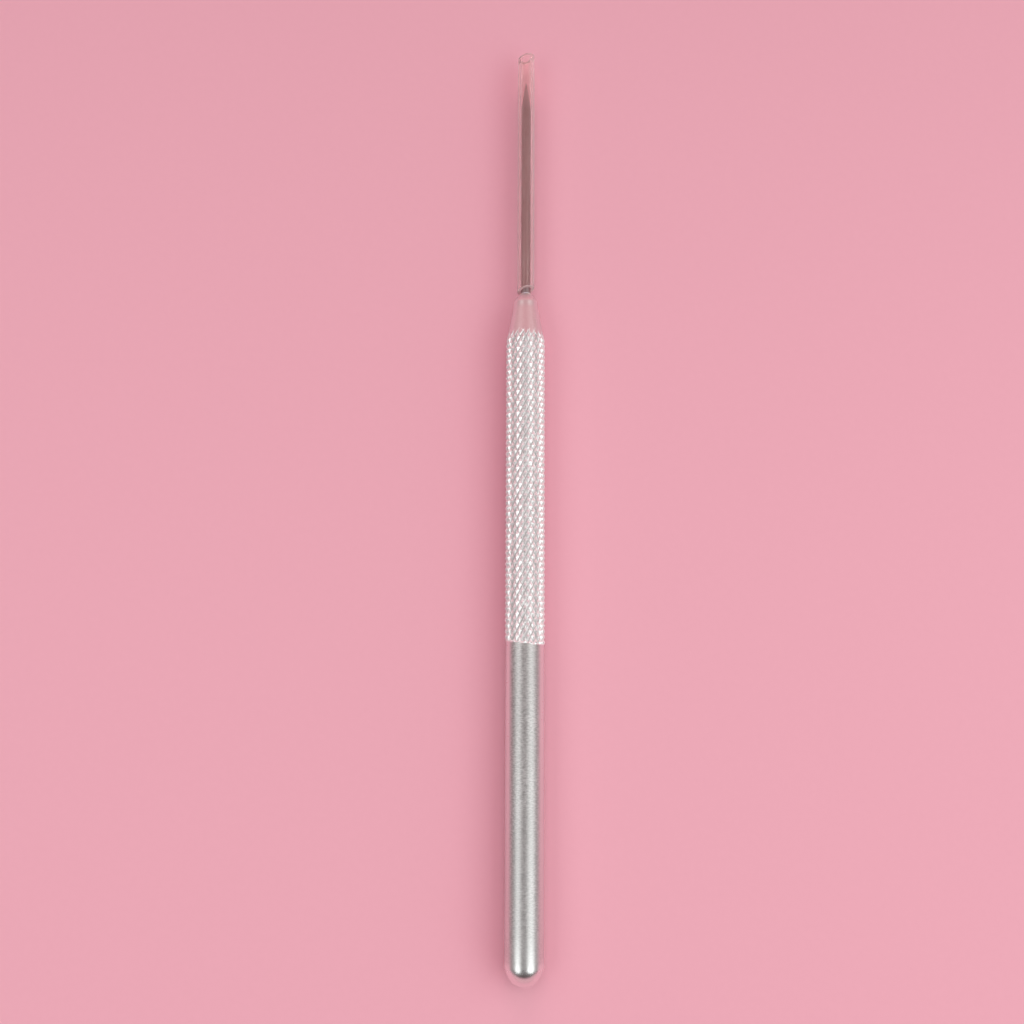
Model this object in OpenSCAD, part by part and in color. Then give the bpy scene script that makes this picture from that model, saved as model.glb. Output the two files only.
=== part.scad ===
// Pottery needle tool: a turned and knurled aluminium handle with a steel
// needle bonded into its nose, and a clear tube that slides over the needle.
// Millimetres. The tool lies along Y with its needle towards +Y, on z = 0.
// Stations along the tool are counted from the tip of the domed end.

/* [Shank] */
// Diameter of the plain rod
shank_d = 6; // [5:0.1:9]
// Length of the plain rod, with its domed end
shank_len = 51.5; // [25:0.5:90]

/* [Grip] */
// Length of the knurled grip
grip_len = 49.4; // [25:0.1:80]
// Height of the knurl's crests above the plain rod
knurl_rise = 0.16; // [0.05:0.01:0.3]
// Depth of the knurl's grooves below its crests
knurl_depth = 0.4; // [0.15:0.05:0.6]
// Number of diamonds around the grip
knurl_starts = 20; // [12:4:28]
// Length of one diamond along the grip
knurl_pitch = 1.76; // [1.4:0.02:3]
// Length over which the grip narrows to the nose
grip_taper_len = 2; // [1:0.1:5]

/* [Nose] */
// Diameter of the nose where it leaves the grip
nose_base_d = 5.76; // [4.4:0.02:5.9]
// Diameter where the long taper turns into the slimmer one before the end cone
nose_waist_d = 3.9; // [3.2:0.1:4.4]
// Diameter of the shoulder where the end cone starts
nose_shoulder_d = 3.7; // [2.8:0.1:4.2]
// Length of the long taper
nose_taper_len = 4.7; // [2:0.1:12]
// Length of the slimmer taper
nose_slim_len = 1; // [0.5:0.1:4]
// Length of the end cone
nose_cone_len = 1.15; // [0.6:0.05:3]
// Width of the flat rim around the needle's bore
nose_rim = 0.15; // [0.1:0.05:0.3]

/* [Needle] */
// Diameter of the needle
needle_d = 1.55; // [1:0.05:1.9]
// Length of the needle outside the handle
needle_out_len = 36.35; // [20:0.05:60]
// Length of the ground point
needle_point_len = 4.6; // [2:0.1:10]
// Width of the very tip
needle_tip_d = 0.12; // [0.05:0.01:0.3]
// Length of the needle held inside the handle
needle_seat_len = 18; // [8:0.5:24]
// Bevel on the needle's inner end
needle_bevel = 0.2; // [0.05:0.05:0.4]

/* [Bond] */
// Thickness of the adhesive all round the needle
bond_film = 0.05; // [0.03:0.01:0.15]
// Width of the adhesive bead beyond the bore
bead_w = 0.1; // [0.05:0.01:0.1]
// Height of the adhesive bead along the needle
bead_h = 0.2; // [0.1:0.05:0.6]
// Space left in the bore behind the needle
bore_end_gap = 0.6; // [0.2:0.1:3]
// Point angle of the drill that made the bore
drill_angle = 118; // [90:1:140]

/* [Sleeve] */
// Length of the clear tube along its axis
sleeve_len = 40; // [25:0.5:70]
// Wall of the clear tube
sleeve_wall = 0.55; // [0.3:0.05:1]
// Clearance all round between the tube and the needle
sleeve_clear = 0.05; // [0.02:0.01:0.1]
// Gap left between the tube and the adhesive bead
sleeve_gap = 0.1; // [0.05:0.05:1]
// Slant of the tube's snipped ends
snip_angle = 19; // [0:1:35]
// Direction in which the snipped ends reach furthest, from +X towards +Z
snip_turn = 40; // [0:5:355]

/* [Hidden] */
$fn = 96;

// Radii
shank_r = shank_d / 2;
crest_r = shank_r + knurl_rise;
nose_base_r = nose_base_d / 2;
nose_waist_r = nose_waist_d / 2;
nose_shoulder_r = nose_shoulder_d / 2;
needle_r = needle_d / 2;
needle_tip_r = needle_tip_d / 2;
bore_r = needle_r + bond_film;
nose_tip_r = bore_r + nose_rim;
sleeve_bore_r = needle_r + sleeve_clear;
sleeve_r = sleeve_bore_r + sleeve_wall;

// Stations
grip_end = shank_len + grip_len;
waist = grip_end + nose_taper_len;
cone_start = waist + nose_slim_len;
nose_tip = cone_start + nose_cone_len;
needle_inner_end = nose_tip - needle_seat_len;
needle_tip = nose_tip + needle_out_len;
bore_floor = needle_inner_end - bore_end_gap;
bore_point_len = bore_r / tan(drill_angle / 2);
snip_reach = sleeve_r * tan(snip_angle);
sleeve_start = nose_tip + bead_h + sleeve_gap + snip_reach;
sleeve_mid = sleeve_start + sleeve_len / 2;
tool_len = max(needle_tip, sleeve_start + sleeve_len + snip_reach);

// Knurl
knurl_lead = 0.1;
knurl_sink = 0.05;
knurl_fade = 0.25;
knurl_columns = 2 * knurl_starts;
knurl_rows = round(2 * (grip_len - knurl_lead) / knurl_pitch);
knurl_row_step = (grip_len - knurl_lead) / knurl_rows;
cut_over = 1;

// The grip's outer radius and the depth of its grooves, at a distance from the nose
function grip_share(to_nose) = min(1, max(0, to_nose / grip_taper_len));
function grip_crest(to_nose) = nose_base_r + (crest_r - nose_base_r) * grip_share(to_nose);
function grip_groove(to_nose) = knurl_depth * (knurl_fade + (1 - knurl_fade) * grip_share(to_nose));

// Crests and groove crossings take turns around each row and from row to row.
// The last row is sunk into the nose, so that the two run together.
function is_crest(column, row) = (column + row) % 2 == 0;
function knurl_ring(row) =
    let (to_nose = grip_len - knurl_lead - row * knurl_row_step)
    let (crest = grip_crest(to_nose) - (row == knurl_rows ? knurl_sink : 0))
    let (root = crest - grip_groove(to_nose))
    let (station = row == knurl_rows ? grip_end + knurl_lead : grip_end - to_nose)
    [for (column = [0 : knurl_columns - 1])
        ring_point(is_crest(column, row) ? crest : root, column, station)];
function closing_ring(radius, station) =
    [for (column = [0 : knurl_columns - 1]) ring_point(radius, column, station)];
function ring_point(radius, column, station) =
    let (angle = 360 * column / knurl_columns)
    [radius * cos(angle), radius * sin(angle), station];

// Two triangles of one cell between two rings, split along the groove
function knurl_cell(ring, column, groove_rises) =
    let (a = ring * knurl_columns + column)
    let (b = ring * knurl_columns + (column + 1) % knurl_columns)
    let (c = b + knurl_columns)
    let (d = a + knurl_columns)
    groove_rises ? [[a, c, b], [a, d, c]] : [[a, d, b], [b, d, c]];

// Shapes are turned about Z, then laid along the tool
module laid_down() {
    translate([0, -tool_len / 2, crest_r])
        rotate([-90, 0, 0])
            children();
}

module shank_profile() {
    intersection() {
        translate([0, shank_r])
            circle(r = shank_r);
        square([shank_r, shank_r]);
    }
    translate([0, shank_r])
        square([shank_r, shank_len - shank_r]);
}

module nose_profile() {
    polygon([
        [0, grip_end],
        [nose_base_r, grip_end],
        [nose_waist_r, waist],
        [nose_shoulder_r, cone_start],
        [nose_tip_r, nose_tip],
        [0, nose_tip]
    ]);
}

module knurled_grip() {
    first_ring = closing_ring(shank_r - knurl_lead, shank_len - knurl_lead);
    rows = [for (row = [0 : knurl_rows]) each knurl_ring(row)];
    ring_count = knurl_rows + 2;
    last_start = (ring_count - 1) * knurl_columns;
    sides = [
        for (ring = [0 : ring_count - 2])
            for (column = [0 : knurl_columns - 1])
                each knurl_cell(ring, column, !is_crest(column, ring + 1))
    ];
    first_cap = [for (column = [0 : knurl_columns - 1]) column];
    last_cap = [for (column = [knurl_columns - 1 : -1 : 0]) last_start + column];
    polyhedron(
        points = concat(first_ring, rows),
        faces = concat(sides, [first_cap], [last_cap]),
        convexity = 4
    );
}

module needle_bore() {
    translate([0, 0, bore_floor])
        cylinder(h = nose_tip - bore_floor + cut_over, r = bore_r);
    translate([0, 0, bore_floor - bore_point_len])
        cylinder(h = bore_point_len, r1 = 0, r2 = bore_r);
}

module handle() {
    color([0.78, 0.77, 0.76])
        laid_down()
            difference() {
                union() {
                    rotate_extrude()
                        shank_profile();
                    knurled_grip();
                    rotate_extrude()
                        nose_profile();
                }
                needle_bore();
            }
}

module needle() {
    color([0.56, 0.50, 0.50])
        laid_down()
            rotate_extrude()
                polygon([
                    [0, needle_inner_end],
                    [needle_r - needle_bevel, needle_inner_end],
                    [needle_r, needle_inner_end + needle_bevel],
                    [needle_r, needle_tip - needle_point_len],
                    [needle_tip_r, needle_tip],
                    [0, needle_tip]
                ]);
}

module needle_bond() {
    color([0.80, 0.74, 0.66])
        laid_down()
            rotate_extrude()
                polygon([
                    [needle_r, needle_inner_end + needle_bevel],
                    [bore_r, needle_inner_end + needle_bevel],
                    [bore_r, nose_tip],
                    [bore_r + bead_w, nose_tip],
                    [needle_r, nose_tip + bead_h]
                ]);
}

module protective_sleeve() {
    slab_w = 2 * (sleeve_len + sleeve_r);
    color([0.93, 0.90, 0.90, 0.35])
        laid_down()
            translate([0, 0, sleeve_mid])
                intersection() {
                    difference() {
                        cylinder(h = 2 * sleeve_len, r = sleeve_r, center = true);
                        cylinder(h = 2 * sleeve_len + cut_over, r = sleeve_bore_r, center = true);
                    }
                    rotate([0, 0, -snip_turn])
                        rotate([0, -snip_angle, 0])
                            cube([slab_w, slab_w, sleeve_len * cos(snip_angle)], center = true);
                }
}

handle();
needle();
needle_bond();
protective_sleeve();
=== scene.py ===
import math

import bmesh
import bpy
import numpy as np
from mathutils import Euler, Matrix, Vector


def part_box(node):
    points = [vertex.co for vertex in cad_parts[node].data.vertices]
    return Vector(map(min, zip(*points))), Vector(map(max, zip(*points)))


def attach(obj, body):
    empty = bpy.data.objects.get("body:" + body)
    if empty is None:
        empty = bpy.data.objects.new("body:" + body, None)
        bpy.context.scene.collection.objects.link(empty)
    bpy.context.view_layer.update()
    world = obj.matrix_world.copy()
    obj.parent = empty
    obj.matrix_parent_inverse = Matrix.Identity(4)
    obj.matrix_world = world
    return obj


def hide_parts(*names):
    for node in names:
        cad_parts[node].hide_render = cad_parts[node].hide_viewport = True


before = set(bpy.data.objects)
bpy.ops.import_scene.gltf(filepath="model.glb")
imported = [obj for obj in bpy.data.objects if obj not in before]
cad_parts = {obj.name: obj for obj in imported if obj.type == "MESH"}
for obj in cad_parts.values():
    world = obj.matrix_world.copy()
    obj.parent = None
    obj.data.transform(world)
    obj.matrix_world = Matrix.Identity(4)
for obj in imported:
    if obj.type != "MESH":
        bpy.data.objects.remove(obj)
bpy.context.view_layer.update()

# Sizes in metres. Stations run along the tool from the tip of its domed end.
MM = 0.001
HANDLE_BODY, SLEEVE_BODY = "handle_body", "sleeve_body"

handle_low, handle_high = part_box("handle")
needle_low, needle_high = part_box("needle")
_, bond_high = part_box("needle_bond")
sleeve_low, sleeve_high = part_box("protective_sleeve")

domed_end = handle_low.y
axis_z = (handle_low.z + handle_high.z) / 2
crest_r = (handle_high.z - handle_low.z) / 2
nose_tip = handle_high.y - domed_end
needle_r = (needle_high.x - needle_low.x) / 2
needle_inner_end = needle_low.y - domed_end
needle_tip = needle_high.y - domed_end
bead_top = bond_high.y - domed_end
sleeve_r = (sleeve_high.x - sleeve_low.x) / 2

shank_r = 3 * MM
dome_arc = math.radians(81)
shank_len = 51.5 * MM
grip_len = 49.4 * MM
grip_end = shank_len + grip_len
nose_base_r = 2.88 * MM
nose_waist_r = 1.95 * MM
nose_shoulder_r = 1.85 * MM
nose_taper_len = 4.7 * MM
nose_cone_len = 1.15 * MM
bond_film = 0.05 * MM
nose_rim = 0.15 * MM
bead_w = 0.1 * MM
bore_r = needle_r + bond_film
bore_end_gap = 0.6 * MM
drill_half_angle = math.radians(59)
needle_point_len = 4.6 * MM
needle_tip_r = 0.06 * MM
needle_bevel = 0.2 * MM
sleeve_clear = 0.05 * MM
sleeve_bore_r = needle_r + sleeve_clear
sleeve_edge_r = 0.07 * MM
snip_angle = math.radians(19)
snip_turn = math.radians(40)

# Knurl: crests and groove crossings take turns on a grid of columns and rows. Each of its cells is
# split into smaller ones, and it rises out of the shank over a few extra rings.
KNURL_STARTS = 20
KNURL_ROWS = 56
KNURL_SPLIT = 5
KNURL_RUN_IN = 2
KNURL_SEED = 7
COLUMNS = 2 * KNURL_STARTS * KNURL_SPLIT
knurl_lead = 0.1 * MM
knurl_slant = 0.3 * MM
knurl_rising_depth = 0.38 * MM
knurl_falling_depth = 0.35 * MM
knurl_roundness = 1.03
knurl_unevenness = 0.04

# Polish, from 0 for the satin shank to 1 for the dome
knurl_polish = 0.7
nose_polish = 0.48
rod_polish = [1.0, 0.38, 0.14, 0.0]
rod_polish_stations = [2.2 * MM, 3.6 * MM, 8 * MM, 40 * MM]

# Edges are sharp where two faces bend by more than this
HANDLE_SHARP = math.radians(32)
WIRE_SHARP = math.radians(40)
MOULDED_SHARP = math.radians(50)


def mesh_object(name, points, faces, sharp_angle):
    """A closed smooth-shaded mesh, its edges sharp where they bend by more than the given angle."""
    mesh = bpy.data.meshes.new(name)
    mesh.from_pydata([tuple(p) for p in points], [], faces)
    work = bmesh.new()
    work.from_mesh(mesh)
    bmesh.ops.recalc_face_normals(work, faces=work.faces)
    work.to_mesh(mesh)
    work.free()
    mesh.shade_smooth()
    mesh.set_sharp_from_angle(angle=sharp_angle)
    piece = bpy.data.objects.new(name, mesh)
    bpy.context.scene.collection.objects.link(piece)
    return piece


def ring_points(radius, station, columns):
    """One ring of points about the tool's axis. Radius and station may vary around it."""
    angle = 2 * math.pi * np.arange(columns) / columns
    radius = np.broadcast_to(radius, columns)
    station = np.broadcast_to(station, columns)
    return np.stack(
        [radius * np.cos(angle), domed_end + station, axis_z + radius * np.sin(angle)], axis=1
    )


def skin_faces(ring_count, columns, first=0, closed=False, split=None):
    """Faces between rings. split(ring, column) gives the diagonal of a cell, or None for one quad."""
    faces = []
    for ring in range(ring_count if closed else ring_count - 1):
        after = (ring + 1) % ring_count
        for column in range(columns):
            beside = (column + 1) % columns
            a = first + ring * columns + column
            b = first + ring * columns + beside
            c = first + after * columns + beside
            d = first + after * columns + column
            rising = split(ring, column) if split else None
            if rising is None:
                faces.append((a, b, c, d))
            elif rising:
                faces += [(a, b, c), (a, c, d)]
            else:
                faces += [(a, b, d), (b, c, d)]
    return faces


def turned_mesh(name, profile, columns, sharp_angle):
    """A closed solid of revolution. The profile runs from one point on the axis to another."""
    rings = [ring_points(radius, station, columns) for radius, station in profile[1:-1]]
    ends = (profile[0], profile[-1])
    poles = [np.array([[0, domed_end + station, axis_z]]) for _, station in ends]
    points = np.concatenate([poles[0], *rings, poles[1]])
    last = len(points) - 1
    last_ring = last - columns
    faces = skin_faces(len(rings), columns, first=1)
    for column in range(columns):
        beside = (column + 1) % columns
        faces.append((0, 1 + beside, 1 + column))
        faces.append((last, last_ring + column, last_ring + beside))
    return mesh_object(name, points, faces, sharp_angle)


def arc(centre_r, centre_s, radius, start, end, steps):
    """Profile points on an arc. Angle 0 points away from the axis, 90 along the tool."""
    angles = np.radians(np.linspace(start, end, steps))
    return [(centre_r + radius * math.cos(a), centre_s + radius * math.sin(a)) for a in angles]


def line(start, end, steps):
    """Profile points on a straight line, its end left out."""
    return [
        (start[0] + (end[0] - start[0]) * t, start[1] + (end[1] - start[1]) * t)
        for t in np.arange(steps) / steps
    ]


def taper_radius(station):
    """The nose's long taper, carried on over the end of the knurl that it was turned from."""
    slope = (nose_base_r - nose_waist_r) / nose_taper_len
    return nose_base_r + slope * (grip_end - station)


def knurl_rings():
    """Rings of the grip, from shank to nose: radius, station, groove share and polish of each column."""
    rng = np.random.default_rng(KNURL_SEED)
    row_step = (grip_len - knurl_lead) / KNURL_ROWS
    columns = np.arange(COLUMNS) / KNURL_SPLIT
    angle = 2 * math.pi * np.arange(COLUMNS) / COLUMNS
    uneven = 1 + knurl_unevenness * rng.standard_normal((2 * KNURL_STARTS, KNURL_ROWS + 4))
    rings = []
    for step in range(-KNURL_RUN_IN, (KNURL_ROWS + 1) * KNURL_SPLIT):
        row = step / KNURL_SPLIT
        station = shank_len + knurl_lead + row * row_step
        across = np.abs(1 - np.mod(columns + row, 2))
        along = np.abs(1 - np.mod(columns - row, 2))
        nearest = np.round(columns).astype(int) % (2 * KNURL_STARTS)
        lumpy = uneven[nearest, int(round(row)) + 1]
        rising_cut = knurl_rising_depth * np.power(1 - across, knurl_roundness)
        falling_cut = knurl_falling_depth * np.power(1 - along, knurl_roundness)
        cut = np.maximum(rising_cut, falling_cut) * lumpy
        start = shank_len - knurl_slant * np.cos(angle)
        grown = np.clip((station - start) / (row_step / KNURL_SPLIT), 0, 1)
        radius = crest_r - cut
        radius = shank_r + (radius - shank_r) * grown
        turned = radius > taper_radius(station)
        radius = np.where(turned, taper_radius(station), radius)
        groove = np.where(turned, 0, cut / knurl_rising_depth * grown)
        polish = np.where(turned, nose_polish, knurl_polish * grown)
        rings.append((radius, station, groove, polish))
    return rings


def end_polish(station):
    """How polished the rod is: bright over the dome, then fading into the satin shank."""
    return float(np.interp(station, rod_polish_stations, rod_polish))


def handle_mesh():
    """The whole handle in one skin: dome, shank, knurl, nose, and the blind bore down to its drill point."""
    dome = []
    for a in dome_arc * np.arange(1, 30) / 30:
        radius = shank_r * math.sin(a) / math.sin(dome_arc)
        station = shank_r * (1 - math.cos(a)) / (1 - math.cos(dome_arc))
        dome.append((radius, station))

    # Two close rings just below the knurl keep its shading off the shank
    shank = line((shank_r, shank_r), (shank_r, shank_len - 0.6 * MM), 48)
    shank += [(shank_r, shank_len - 0.36 * MM), (shank_r, shank_len - 0.33 * MM)]
    knurl = knurl_rings()

    # The nose's tapers, its rounded shoulder, its end cone and the softened edges of its rim
    waist = grip_end + nose_taper_len
    cone_start = nose_tip - nose_cone_len
    rim_r = bore_r + nose_rim
    nose_start = knurl[-1][1] + 0.1 * MM
    nose = line((taper_radius(nose_start), nose_start), (nose_waist_r, waist), 8)
    nose += line((nose_waist_r, waist), (nose_shoulder_r, cone_start - 0.08 * MM), 4)
    nose += [(nose_shoulder_r - 0.01 * MM, cone_start - 0.02 * MM)]
    nose += line((nose_shoulder_r - 0.06 * MM, cone_start + 0.06 * MM), (rim_r, nose_tip), 6)
    nose += [(rim_r, nose_tip - 0.02 * MM), (rim_r - 0.03 * MM, nose_tip)]
    nose += [(bore_r + 0.02 * MM, nose_tip), (bore_r, nose_tip - 0.02 * MM)]

    floor = needle_inner_end - bore_end_gap
    bore = line((bore_r, nose_tip - 0.5 * MM), (bore_r, floor), 8) + [(bore_r, floor)]
    drill_point = floor - bore_r / math.tan(drill_half_angle)

    plain = np.ones(COLUMNS)
    rings = [(plain * r, s, 0 * plain, end_polish(s)) for r, s in dome + shank]
    first_knurl = len(rings)
    rings += knurl
    last_knurl = len(rings) - 1
    rings += [(plain * r, s, 0 * plain, nose_polish) for r, s in nose]
    rings += [(plain * r, s, 0 * plain, 0.0) for r, s in bore]

    def split(ring, column):
        if not first_knurl <= ring < last_knurl:
            return None
        row = (ring - first_knurl - KNURL_RUN_IN) // KNURL_SPLIT
        return (column // KNURL_SPLIT + row) % 2 == 1

    points = [np.array([[0, domed_end, axis_z]])]
    points += [ring_points(r, s, COLUMNS) for r, s, _, _ in rings]
    points += [np.array([[0, domed_end + drill_point, axis_z]])]
    points = np.concatenate(points)
    last = len(points) - 1
    faces = skin_faces(len(rings), COLUMNS, first=1, split=split)
    for column in range(COLUMNS):
        beside = (column + 1) % COLUMNS
        faces.append((0, 1 + beside, 1 + column))
        faces.append((last, last - COLUMNS + column, last - COLUMNS + beside))
    piece = mesh_object("handle_turned", points, faces, HANDLE_SHARP)
    groove = np.concatenate([[0], *[g for _, _, g, _ in rings], [0]])
    polish = np.concatenate([[1], *[p * plain for _, _, _, p in rings], [0]])
    add_values(piece, "groove", groove)
    add_values(piece, "polish", polish)
    return piece


def add_values(piece, name, values):
    """One number per vertex, for the materials to read."""
    layer = piece.data.attributes.new(name, "FLOAT", "POINT")
    layer.data.foreach_set("value", np.asarray(values, np.float32))


def needle_mesh():
    """The steel wire with its bevelled inner end and its long ground point."""
    point_start = needle_tip - needle_point_len
    soft = 0.25 * MM
    most_bulge = 0.03 * needle_r
    bevel_end = needle_inner_end + needle_bevel
    profile = [(0, needle_inner_end)]
    profile += [(needle_r - needle_bevel, needle_inner_end), (needle_r, bevel_end)]
    profile += line((needle_r, nose_tip - 1 * MM), (needle_r, point_start - 2 * soft), 24)
    profile += [(needle_r, point_start - 2 * soft), (needle_r * 0.985, point_start)]
    slope = (needle_r - needle_tip_r) / needle_point_len
    for share in np.linspace(0.08, 0.98, 14):
        along = needle_point_len * share
        bulge = most_bulge * math.sin(math.pi * share)
        profile.append((needle_r - slope * along + bulge, point_start + along))
    profile += [(needle_tip_r * 0.7, needle_tip - 0.02 * MM), (0, needle_tip)]
    piece = turned_mesh("needle_wire", profile, 64, WIRE_SHARP)
    stations = [vertex.co.y - domed_end for vertex in piece.data.vertices]
    grinding = [point_start - 0.6 * MM, needle_tip - 2 * MM]
    add_values(piece, "ground", np.interp(stations, grinding, [0, 1]))
    return piece


def bond_mesh():
    """The adhesive film in the bore and the hollow-curved bead where it meets the nose."""
    bead_h = bead_top - nose_tip
    start = needle_inner_end + needle_bevel
    loop = [(needle_r, start), (bore_r, start), (bore_r, nose_tip - 0.01 * MM)]
    outer = bore_r + bead_w
    for share in np.linspace(0, 1, 8):
        angle = share * math.pi / 2
        radius = outer - (outer - needle_r) * math.sin(angle)
        loop.append((radius, nose_tip + bead_h * (1 - math.cos(angle))))
    return loop_mesh("adhesive_bead", loop, 64, MOULDED_SHARP)


def loop_mesh(name, loop, columns, sharp_angle, shift=None):
    """A ring-shaped solid: a closed loop of profile points turned about the axis.

    shift(radius) gives how far each point of a ring moves along the axis.
    """
    rings = []
    for radius, station in loop:
        moved = station + (shift(radius) if shift else 0)
        rings.append(ring_points(radius, moved, columns))
    faces = skin_faces(len(rings), columns, closed=True)
    return mesh_object(name, np.concatenate(rings), faces, sharp_angle)


def sleeve_mesh():
    """The clear tube. Its snipped ends slant, their edges are slightly rounded, and they are whitened."""
    columns = 96
    angle = 2 * math.pi * np.arange(columns) / columns
    reach = sleeve_r * math.tan(snip_angle)
    low = sleeve_low.y - domed_end + reach
    high = sleeve_high.y - domed_end - reach
    edge = sleeve_edge_r

    def shift(radius):
        return radius * math.tan(snip_angle) * np.cos(angle - snip_turn)

    outside = line((sleeve_r, low + edge), (sleeve_r, high - edge), 20)
    far_cut = arc(sleeve_r - edge, high - edge, edge, 0, 90, 5)
    far_cut += arc(sleeve_bore_r + edge, high - edge, edge, 90, 180, 5)
    inside = line((sleeve_bore_r, high - edge), (sleeve_bore_r, low + edge), 20)[1:]
    near_cut = arc(sleeve_bore_r + edge, low + edge, edge, 180, 270, 5)
    near_cut += arc(sleeve_r - edge, low + edge, edge, 270, 360, 5)[:-1]
    loop = outside + far_cut + inside + near_cut
    tube = loop_mesh("clear_tube", loop, columns, MOULDED_SHARP, shift)
    far_start = len(outside)
    near_start = far_start + len(far_cut) + len(inside)
    for start, rings in ((far_start, len(far_cut) - 1), (near_start, len(near_cut))):
        for face in tube.data.polygons[start * columns:(start + rings) * columns]:
            face.material_index = 1
    return tube


# Materials
def add_node(tree, kind, settings=None, **inputs):
    """A node with its inputs set or linked. An input is named, or numbered as in _0 for the first."""
    node = tree.nodes.new(kind)
    for key, value in (settings or {}).items():
        setattr(node, key, value)
    for key, value in inputs.items():
        socket = node.inputs[int(key[1:]) if key[0] == "_" else key.replace("_", " ")]
        if isinstance(value, bpy.types.NodeSocket):
            tree.links.new(value, socket)
        else:
            socket.default_value = value
    return node


def new_material(name):
    """A node material, its shader, and a function that adds a node with its inputs set or linked."""
    material = bpy.data.materials.new(name)
    material.use_nodes = True
    tree = material.node_tree
    shader = tree.nodes["Principled BSDF"]

    def add(kind, settings=None, **inputs):
        return add_node(tree, kind, settings, **inputs)

    def drive(socket_name, output):
        tree.links.new(output, shader.inputs[socket_name])

    return material, shader, add, drive


def mix_colours(add, share, low, high):
    """low where share is 0, high where it is 1."""
    return add("ShaderNodeMix", {"data_type": "RGBA"}, _0=share, _6=low, _7=high).outputs[2]


def spread(add, value, low, high, to_low=0, to_high=1):
    """A value mapped from one range to another, held at its ends."""
    return add("ShaderNodeMapRange", None, _0=value, _1=low, _2=high, _3=to_low, _4=to_high).outputs[0]


def combine(add, operation, a, b):
    """The result of a sum, product or other operation on two values."""
    return add("ShaderNodeMath", {"operation": operation}, _0=a, _1=b).outputs[0]


def stretched_noise(add, scale, detail=3.0, roughness=0.6):
    """Noise on the object's own coordinates, with its own scale along each axis, per metre."""
    place = add("ShaderNodeTexCoord").outputs["Object"]
    mapped = add("ShaderNodeMapping", None, Vector=place, Scale=scale).outputs[0]
    settings = {"Vector": mapped, "Scale": 1.0, "Detail": detail, "Roughness": roughness}
    return add("ShaderNodeTexNoise", None, **settings).outputs[0]


def relief(add, drive, height, strength, distance):
    """A fine bump. The strength is a number or a value that varies."""
    bump = add("ShaderNodeBump", None, Strength=strength, Distance=distance, Height=height)
    drive("Normal", bump.outputs[0])


def facing_away(add):
    """0 where the surface faces the view, 1 where it is seen edge on."""
    return add("ShaderNodeLayerWeight", None, Blend=0.5).outputs["Facing"]


MATT_DARK = (0.47, 0.46, 0.45, 1)
MATT_LIGHT = (0.70, 0.69, 0.68, 1)
# The next colour is a painted sheen for the shank's flanks, where they are seen edge on.
FLANK_PAINTED_SHEEN = (0.86, 0.87, 0.86, 1)
BRIGHT = (0.91, 0.90, 0.89, 1)
KNURLED = (0.97, 0.98, 0.97, 1)
# The next colour is painted shade for the bottoms of the knurl's grooves.
GROOVE_PAINTED_SHADE = (0.60, 0.59, 0.58, 1)
KNURL_METALLIC = 0.65
MATT_ROUGH = 0.46
POLISHED_ROUGH = 0.22
WIRE_DARK = (0.33, 0.25, 0.25, 1)
WIRE_LIGHT = (0.38, 0.29, 0.29, 1)
WIRE_SPOT = (0.29, 0.215, 0.215, 1)
WIRE_GROUND = (0.52, 0.42, 0.43, 1)
ADHESIVE_DARK = (0.86, 0.68, 0.67, 1)
ADHESIVE_LIGHT = (0.95, 0.80, 0.79, 1)
TUBE_CLEAR = (0.99, 0.94, 0.92, 1)
TUBE_HAZY = (0.95, 0.88, 0.86, 1)
CUT_DARK = (0.86, 0.66, 0.66, 1)
CUT_LIGHT = (0.96, 0.78, 0.78, 1)
PAPER_DARK = (0.78, 0.388, 0.455, 1)
PAPER_LIGHT = (0.80, 0.400, 0.470, 1)


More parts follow.
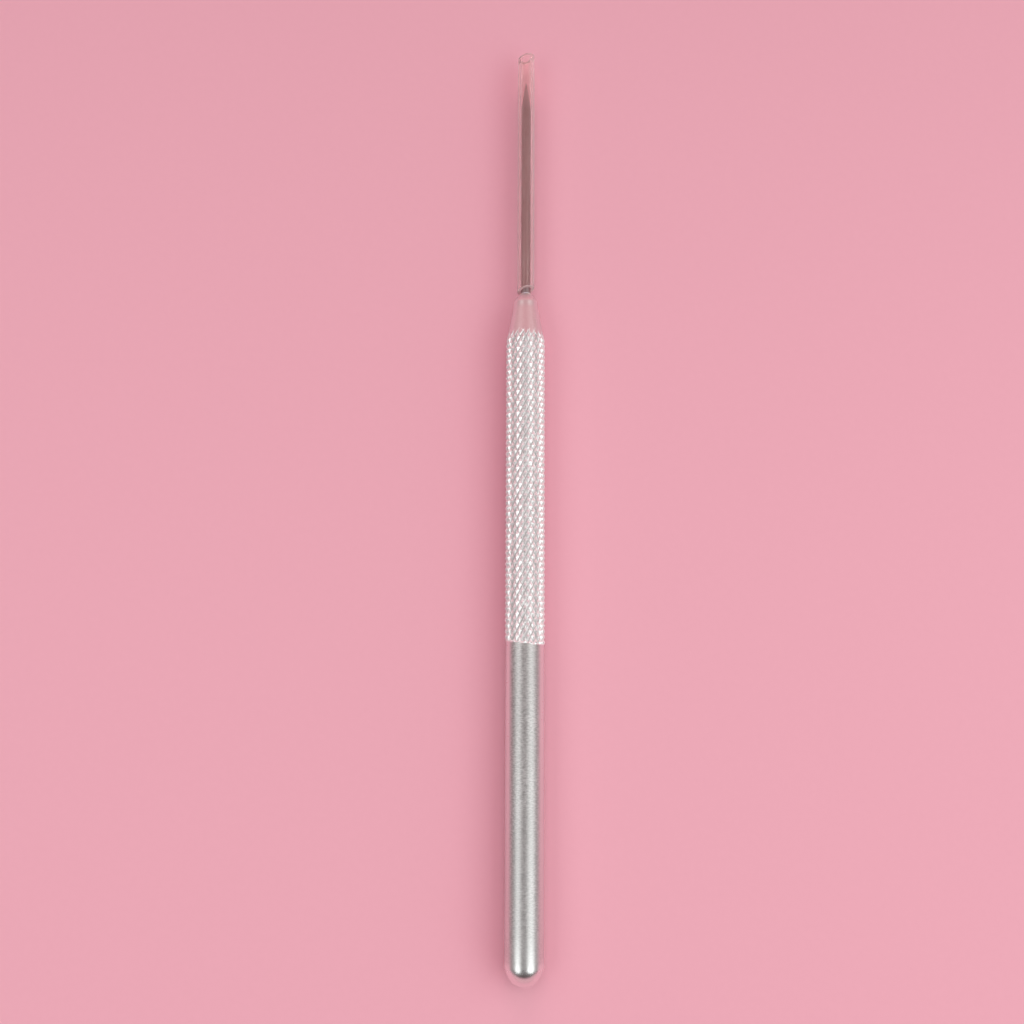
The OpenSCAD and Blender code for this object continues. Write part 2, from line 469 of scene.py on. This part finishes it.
def aluminium():
    """Turned aluminium: satin shank with fine lathe rings and a painted sheen on its flanks, dulled knurl
    with painted shade in its grooves, polished dome and nose.
    """
    material, shader, add, drive = new_material("turned_aluminium")
    groove = add("ShaderNodeAttribute", {"attribute_name": "groove"}).outputs["Fac"]
    polish = add("ShaderNodeAttribute", {"attribute_name": "polish"}).outputs["Fac"]
    rings = stretched_noise(add, (60, 9000, 60), detail=4)
    grain = stretched_noise(add, (2200, 5200, 2200), detail=3)
    cloud = stretched_noise(add, (250, 120, 250), detail=2)
    satin = combine(add, "SUBTRACT", 1.0, polish)

    matt = mix_colours(add, spread(add, grain, 0.38, 0.62), MATT_DARK, MATT_LIGHT)
    matt = mix_colours(add, spread(add, cloud, 0.4, 0.7, 0, 0.35), matt, MATT_DARK)
    # Painted sheen: where the satin shank is seen edge on, its colour is lightened and its roughness lowered
    # by the view angle, standing in for a bright reflection along its flanks.
    side = spread(add, facing_away(add), 0.22, 0.45)
    painted_flank_sheen = combine(add, "MULTIPLY", side, spread(add, polish, 0.0, 0.3, 1, 0))
    matt = mix_colours(add, painted_flank_sheen, matt, FLANK_PAINTED_SHEEN)
    bright = mix_colours(add, spread(add, polish, 0, 0.6), matt, BRIGHT)
    bright = mix_colours(add, spread(add, groove, 0.0, 0.02), bright, KNURLED)
    # Painted shade: the deepest half of each knurl groove is darkened, standing in for the shade that falls
    # there.
    painted_groove_shade = mix_colours(add, spread(add, groove, 0.55, 1.0, 0, 0.9), bright, GROOVE_PAINTED_SHADE)
    drive("Base Color", painted_groove_shade)

    base = spread(add, polish, 0, 1, MATT_ROUGH, POLISHED_ROUGH)
    mottled = spread(add, grain, 0.3, 0.7, -0.06, 0.06)
    varied = combine(add, "MULTIPLY", mottled, combine(add, "ADD", satin, 0.3))
    smoothed = combine(add, "MULTIPLY", painted_flank_sheen, -0.12)
    rough = combine(add, "ADD", combine(add, "ADD", base, smoothed), varied)
    drive("Roughness", combine(add, "ADD", rough, spread(add, groove, 0.6, 1, 0, 0.12)))

    lathe_rings = combine(add, "MULTIPLY", rings, 0.6)
    height = combine(add, "ADD", lathe_rings, combine(add, "MULTIPLY", grain, 0.5))
    relief(add, drive, height, spread(add, polish, 0, 1, 0.8, 0.12), 0.01 * MM)
    drive("Metallic", spread(add, groove, 0.0, 0.2, 1.0, KNURL_METALLIC))
    return material


def steel():
    """Drawn steel wire with fine lengthwise lines."""
    material, shader, add, drive = new_material("needle_steel")
    lines = stretched_noise(add, (9000, 120, 9000), detail=3)
    spots = stretched_noise(add, (900, 500, 900), detail=3)
    colour = mix_colours(add, spread(add, lines, 0.35, 0.65), WIRE_DARK, WIRE_LIGHT)
    colour = mix_colours(add, spread(add, spots, 0.5, 0.75, 0, 0.4), colour, WIRE_SPOT)
    ground = add("ShaderNodeAttribute", {"attribute_name": "ground"}).outputs["Fac"]
    drive("Base Color", mix_colours(add, ground, colour, WIRE_GROUND))
    drive("Roughness", spread(add, lines, 0.3, 0.7, 0.42, 0.54))
    relief(add, drive, lines, 0.4, 0.004 * MM)
    shader.inputs["Metallic"].default_value = 1.0
    return material


def adhesive():
    """Cured, slightly cloudy adhesive."""
    material, shader, add, drive = new_material("cured_adhesive")
    cloud = stretched_noise(add, (4000, 4000, 4000), detail=3)
    drive("Base Color", mix_colours(add, spread(add, cloud, 0.35, 0.65), ADHESIVE_DARK, ADHESIVE_LIGHT))
    drive("Roughness", spread(add, cloud, 0.3, 0.7, 0.18, 0.32))
    relief(add, drive, cloud, 0.3, 0.01 * MM)
    shader.inputs["Subsurface Weight"].default_value = 0.25
    shader.inputs["Subsurface Scale"].default_value = 0.2 * MM
    shader.inputs["Coat Weight"].default_value = 0.3
    return material


def clear_plastic():
    """Clear soft tube: faint lengthwise draw lines and a little haze."""
    material, shader, add, drive = new_material("clear_plastic")
    lines = stretched_noise(add, (2500, 60, 2500), detail=2)
    haze = stretched_noise(add, (700, 300, 700), detail=3)
    drive("Base Color", mix_colours(add, spread(add, haze, 0.35, 0.7), TUBE_CLEAR, TUBE_HAZY))
    drive("Roughness", spread(add, haze, 0.3, 0.7, 0.04, 0.10))
    relief(add, drive, lines, 0.25, 0.006 * MM)
    drive("Transmission Weight", spread(add, facing_away(add), 0.1, 0.7, 0.98, 0.76))
    shader.inputs["IOR"].default_value = 1.16
    return material


def snipped_plastic():
    """The tube's snipped ends: whitened by the cut, so they catch light where the walls stay clear."""
    material, shader, add, drive = new_material("snipped_plastic")
    scuff = stretched_noise(add, (5000, 5000, 5000), detail=3)
    drive("Base Color", mix_colours(add, spread(add, scuff, 0.35, 0.65), CUT_DARK, CUT_LIGHT))
    drive("Roughness", spread(add, scuff, 0.3, 0.7, 0.35, 0.55))
    relief(add, drive, scuff, 0.3, 0.01 * MM)
    shader.inputs["Transmission Weight"].default_value = 0.5
    shader.inputs["IOR"].default_value = 1.2
    return material


def paper():
    """The pale pink sheet that the tool lies on."""
    material, shader, add, drive = new_material("pale_pink_paper")
    mottle = stretched_noise(add, (900, 900, 900), detail=4)
    drive("Base Color", mix_colours(add, mottle, PAPER_DARK, PAPER_LIGHT))
    shader.inputs["Roughness"].default_value = 0.9
    shader.inputs["Specular IOR Level"].default_value = 0.1
    return material


def dress(piece, materials, body, node):
    """Gives a piece its materials and its body, and hides the CAD node that it stands for."""
    for material in materials:
        piece.data.materials.append(material)
    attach(piece, body)
    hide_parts(node)


dress(handle_mesh(), [aluminium()], HANDLE_BODY, "handle")
dress(needle_mesh(), [steel()], HANDLE_BODY, "needle")
dress(bond_mesh(), [adhesive()], HANDLE_BODY, "needle_bond")
dress(sleeve_mesh(), [clear_plastic(), snipped_plastic()], SLEEVE_BODY, "protective_sleeve")


# Stage, lights and camera
ROOM_LIGHT_LEFT = (0.06, 0.05, 0.05, 1)
ROOM_LIGHT_RIGHT = (0.17, 0.15, 0.15, 1)
ROOM_LIGHT_LOW_RIGHT = (0.85, 1.05, 1.0, 1)
ROOM_LIGHT_FRONT = (0.45, 0.30, 0.34, 1)
ROOM_LIGHT_TOP = (2.28, 1.74, 1.90, 1)
ROOM_OVERHEAD = (0.20, 0.19, 0.19, 1)
ROOM_CAMERA_SIDE = (0.21, 0.20, 0.20, 1)
ROOM_CAMERA = (0.07, 0.06, 0.06, 1)
ROOM_LOW_LEFT = (0.44, 0.36, 0.36, 1)
ROOM_LOW_RIGHT = (0.66, 0.56, 0.57, 1)
ROOM_SWEEP = (0.82, 0.39, 0.43, 1)
ROOM_NEAR = (0.74, 0.40, 0.45, 1)
ROOM_THROUGH_TUBE = (0.72, 0.42, 0.45, 1)
ROOM_BEHIND = (0.48, 0.20, 0.25, 1)
LAMP_TINT = (0.94, 1.0, 0.99)
RIGHT_BOX = {"side_angle": 39, "width": 0.22, "watts": 0.49}
LEFT_BOX = {"side_angle": -38, "width": 0.155, "watts": 0.36}
BOX_ALONG = -0.065
BOX_DISTANCE = 0.32
BOX_LENGTH = 0.44


def make_floor():
    """The wide pink sheet that the tool lies on. Low views see past its far edge."""
    half = 4.0
    mesh = bpy.data.meshes.new("paper_floor")
    corners = [(-half, -half, 0), (half, -half, 0), (half, half, 0), (-half, half, 0)]
    mesh.from_pydata(corners, [], [(0, 1, 2, 3)])
    floor = bpy.data.objects.new("paper_floor", mesh)
    floor.data.materials.append(paper())
    bpy.context.scene.collection.objects.link(floor)


def soft_box(name, side_angle, width, watts):
    """A strip of soft light beside the tool. side_angle is in degrees from straight up, towards +X."""
    angle = math.radians(side_angle)
    lamp = bpy.data.lights.new(name, "AREA")
    lamp.shape = "RECTANGLE"
    lamp.size = width
    lamp.size_y = BOX_LENGTH
    lamp.energy = watts
    lamp.color = LAMP_TINT
    holder = bpy.data.objects.new(name, lamp)
    holder.location = (BOX_DISTANCE * math.sin(angle), BOX_ALONG, BOX_DISTANCE * math.cos(angle))
    holder.rotation_euler = Euler((0, angle, 0))
    bpy.context.scene.collection.objects.link(holder)


def make_world():
    """The room, by kind of ray: matt surfaces see its light, metal its zones, the rest plain pink."""
    world = bpy.data.worlds.new("studio")
    world.use_nodes = True
    tree = world.node_tree

    def add(kind, settings=None, **inputs):
        return add_node(tree, kind, settings, **inputs)

    place = add("ShaderNodeTexCoord").outputs["Generated"]
    way = add("ShaderNodeSeparateXYZ", None, _0=place)
    rightward = way.outputs["X"]
    toward = way.outputs["Y"]
    upward = way.outputs["Z"]

    # What polished metal sees
    low_side = mix_colours(add, spread(add, rightward, -0.2, 0.2), ROOM_LOW_LEFT, ROOM_LOW_RIGHT)
    seen = mix_colours(add, spread(add, upward, 0.35, 0.0), ROOM_OVERHEAD, low_side)
    seen = mix_colours(add, spread(add, toward, -0.15, -0.42), seen, ROOM_CAMERA_SIDE)
    seen = mix_colours(add, spread(add, toward, -0.42, -0.80), seen, ROOM_CAMERA)
    seen = mix_colours(add, spread(add, toward, 0.22, 0.62), seen, ROOM_SWEEP)
    under = combine(add, "SUBTRACT", combine(add, "MULTIPLY", toward, -1.0), upward)
    seen = mix_colours(add, spread(add, under, 0.34, 0.46), seen, ROOM_NEAR)

    # What lights matt surfaces
    light = mix_colours(add, spread(add, rightward, -0.1, 0.1), ROOM_LIGHT_LEFT, ROOM_LIGHT_RIGHT)
    light = mix_colours(add, spread(add, rightward, 0.5, 0.7), light, ROOM_LIGHT_LOW_RIGHT)
    sideways = combine(add, "ABSOLUTE", rightward, 0.0)
    top = mix_colours(add, spread(add, toward, -0.45, 0.15), ROOM_LIGHT_FRONT, ROOM_LIGHT_TOP)
    light = mix_colours(add, spread(add, sideways, 0.32, 0.12), light, top)

    path = add("ShaderNodeLightPath")
    seen = mix_colours(add, path.outputs["Is Transmission Ray"], seen, ROOM_THROUGH_TUBE)
    seen = mix_colours(add, path.outputs["Is Camera Ray"], seen, ROOM_BEHIND)
    colour = mix_colours(add, path.outputs["Is Diffuse Ray"], seen, light)
    tree.links.new(colour, tree.nodes["Background"].inputs["Color"])
    tree.nodes["Background"].inputs["Strength"].default_value = 1.0
    bpy.context.scene.world = world


def make_camera():
    """The photograph's view: from just above the handle, tipped a little towards the needle."""
    tilt = math.radians(7.97)
    height = 196.04 * MM
    nadir = 44.73 * MM
    side = -1.98 * MM
    turn = math.radians(0.22)
    camera = bpy.data.cameras.new("camera")
    camera.sensor_width = 36
    camera.lens = 43.95
    camera.clip_start = 10 * MM
    camera.clip_end = 100
    holder = bpy.data.objects.new("camera", camera)
    holder.location = (side, domed_end + nadir, axis_z + height)
    holder.rotation_euler = Euler((tilt, 0, turn))
    bpy.context.scene.collection.objects.link(holder)
    bpy.context.scene.camera = holder


make_floor()
soft_box("right_box", **RIGHT_BOX)
soft_box("left_box", **LEFT_BOX)
make_world()
make_camera()
bpy.context.scene.view_settings.view_transform = "Standard"
